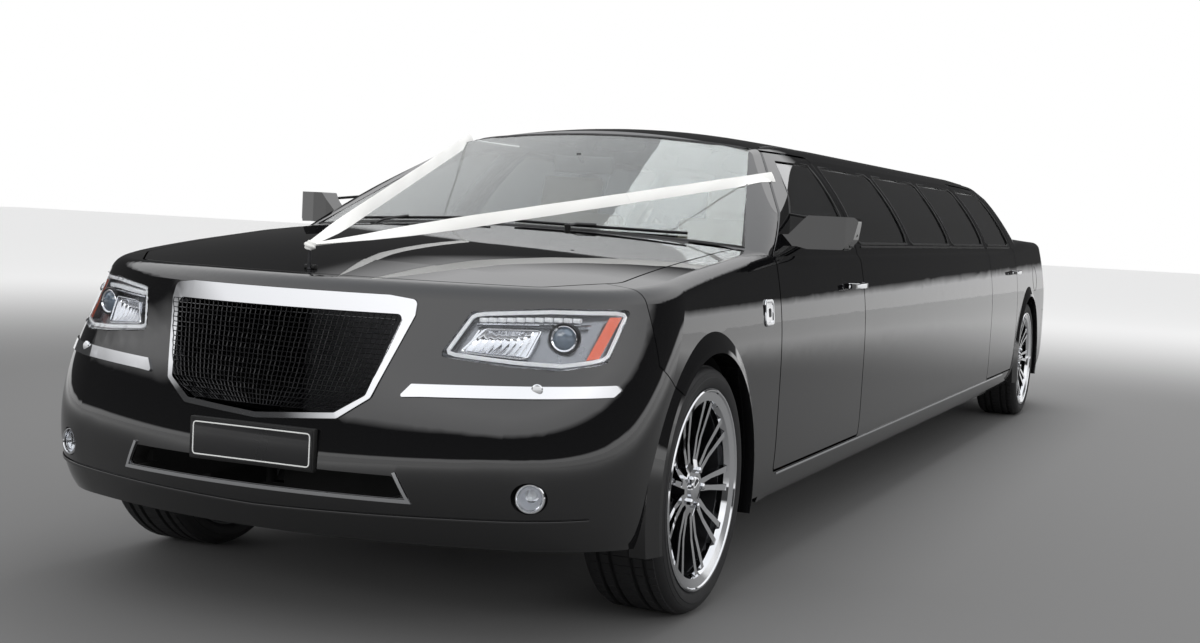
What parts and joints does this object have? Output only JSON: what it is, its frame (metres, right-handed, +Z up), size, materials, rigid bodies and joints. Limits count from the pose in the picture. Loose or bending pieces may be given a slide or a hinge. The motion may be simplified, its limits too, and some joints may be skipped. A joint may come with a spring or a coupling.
{
  "type": "stretch limousine",
  "caption": "Long black saloon with a let-in cabin section, chrome mesh grille, multi-spoke wheels, opening doors and lids, and white ribbons from the nose to the screen.",
  "frame": {"origin": "on the ground, midway between nose and tail, on the centre line", "axes": "+Z up, -Y the way the car faces, +X its left side"},
  "size_m": [2.192, 8.0958, 1.4838],
  "materials": {
    "black_paint": "gloss black paint",
    "under_paint": "satin black primer and underseal",
    "chrome": "bright chrome",
    "mesh": "gloss black moulding",
    "dark_plastic": "grained dark plastic",
    "glass": "clear laminated glass",
    "tinted_glass": "dark tinted glass",
    "lamp_clear": "clear moulded lens",
    "lamp_red": "red moulded lens",
    "tyre": "black rubber",
    "cast_metal": "cast and machined metal",
    "leather": "light leather",
    "wood": "polished dark wood",
    "steel": "plain steel",
    "satin": "white satin ribbon"
  },
  "bodies": {
    "body": {"floor_pan": "under_paint", "rear_floor": "under_paint", "body_side_left": "black_paint", "body_side_right": "black_paint", "roof_panel": "black_paint", "rear_deck": "black_paint", "fender_left": "black_paint", "fender_right": "black_paint", "front_bumper": "black_paint", "rear_bumper": "black_paint", "grille_surround": "chrome", "grille_mesh": "mesh", "headlamps": "lamp_clear", "tail_lamps": "lamp_red", "chrome_trim": "chrome", "windscreen": "glass", "rear_window": "tinted_glass", "fixed_side_glass": "tinted_glass", "cowl_panel": "dark_plastic", "engine_block": "cast_metal", "dashboard": "dark_plastic", "front_seats": "leather", "lounge_seats": "leather", "bar_cabinet": "wood", "front_subframe": "under_paint", "rear_axle": "cast_metal", "exhaust_system": "steel", "ribbon_screen": "satin"},
    "knuckle_left": {"knuckle_left": "cast_metal"},
    "knuckle_right": {"knuckle_right": "cast_metal"},
    "bonnet": {"bonnet": "black_paint", "ribbon_bonnet": "satin"},
    "boot_lid": {"boot_lid": "black_paint"},
    "steering_wheel": {"steering_wheel": "dark_plastic"},
    "wheel_front_left": {"rim_front_left": "chrome", "tyre_front_left": "tyre"},
    "door_front_left": {"door_front_left": "black_paint", "glass_front_left": "tinted_glass"},
    "wheel_front_right": {"rim_front_right": "chrome", "tyre_front_right": "tyre"},
    "door_front_right": {"door_front_right": "black_paint", "glass_front_right": "tinted_glass"},
    "wheel_rear_left": {"rim_rear_left": "chrome", "tyre_rear_left": "tyre"},
    "door_rear_left": {"door_rear_left": "black_paint", "glass_rear_left": "tinted_glass"},
    "wheel_rear_right": {"rim_rear_right": "chrome", "tyre_rear_right": "tyre"},
    "door_rear_right": {"door_rear_right": "black_paint", "glass_rear_right": "tinted_glass"}
  },
  "joints": [
    {"name": "steer_left", "type": "hinge", "parent": "body", "child": "knuckle_left", "pos_m": [0.745, -3.141, 0.358], "axis": [0, 0, 1], "range_deg": [-32, 32]},
    {"name": "roll_front_left", "type": "hinge", "parent": "knuckle_left", "child": "wheel_front_left", "pos_m": [0.806, -3.141, 0.358], "axis": [1, 0, 0], "continuous": true},
    {"name": "roll_rear_left", "type": "hinge", "parent": "body", "child": "wheel_rear_left", "pos_m": [0.806, 2.959, 0.358], "axis": [1, 0, 0], "continuous": true},
    {"name": "open_door_front_left", "type": "hinge", "parent": "body", "child": "door_front_left", "pos_m": [0.906, -2.381, 0.62], "axis": [0, 0, -1], "range_deg": [0, 65]},
    {"name": "open_door_rear_left", "type": "hinge", "parent": "body", "child": "door_rear_left", "pos_m": [0.906, 1.674, 0.62], "axis": [0, 0, -1], "range_deg": [0, 65]},
    {"name": "steer_right", "type": "hinge", "parent": "body", "child": "knuckle_right", "pos_m": [-0.745, -3.141, 0.358], "axis": [0, 0, 1], "range_deg": [-32, 32]},
    {"name": "roll_front_right", "type": "hinge", "parent": "knuckle_right", "child": "wheel_front_right", "pos_m": [-0.806, -3.141, 0.358], "axis": [1, 0, 0], "continuous": true},
    {"name": "roll_rear_right", "type": "hinge", "parent": "body", "child": "wheel_rear_right", "pos_m": [-0.806, 2.959, 0.358], "axis": [1, 0, 0], "continuous": true},
    {"name": "open_door_front_right", "type": "hinge", "parent": "body", "child": "door_front_right", "pos_m": [-0.906, -2.381, 0.62], "axis": [0, 0, 1], "range_deg": [0, 65]},
    {"name": "open_door_rear_right", "type": "hinge", "parent": "body", "child": "door_rear_right", "pos_m": [-0.906, 1.674, 0.62], "axis": [0, 0, 1], "range_deg": [0, 65]},
    {"name": "open_bonnet", "type": "hinge", "parent": "body", "child": "bonnet", "pos_m": [0, -2.601, 1.026], "axis": [-1, 0, 0], "range_deg": [0, 50]},
    {"name": "open_boot_lid", "type": "hinge", "parent": "body", "child": "boot_lid", "pos_m": [0, 3.167, 1.101], "axis": [1, 0, 0], "range_deg": [0, 80]},
    {"name": "turn_steering_wheel", "type": "hinge", "parent": "body", "child": "steering_wheel", "pos_m": [-0.37, -2.056, 0.86], "axis": [0, 0.9063, 0.4226], "range_deg": [-480, 480]}
  ],
  "couplings": [
    {"joint": "steer_right", "follows": "steer_left", "ratio": 1},
    {"joint": "turn_steering_wheel", "follows": "steer_left", "ratio": 15}
  ]
}
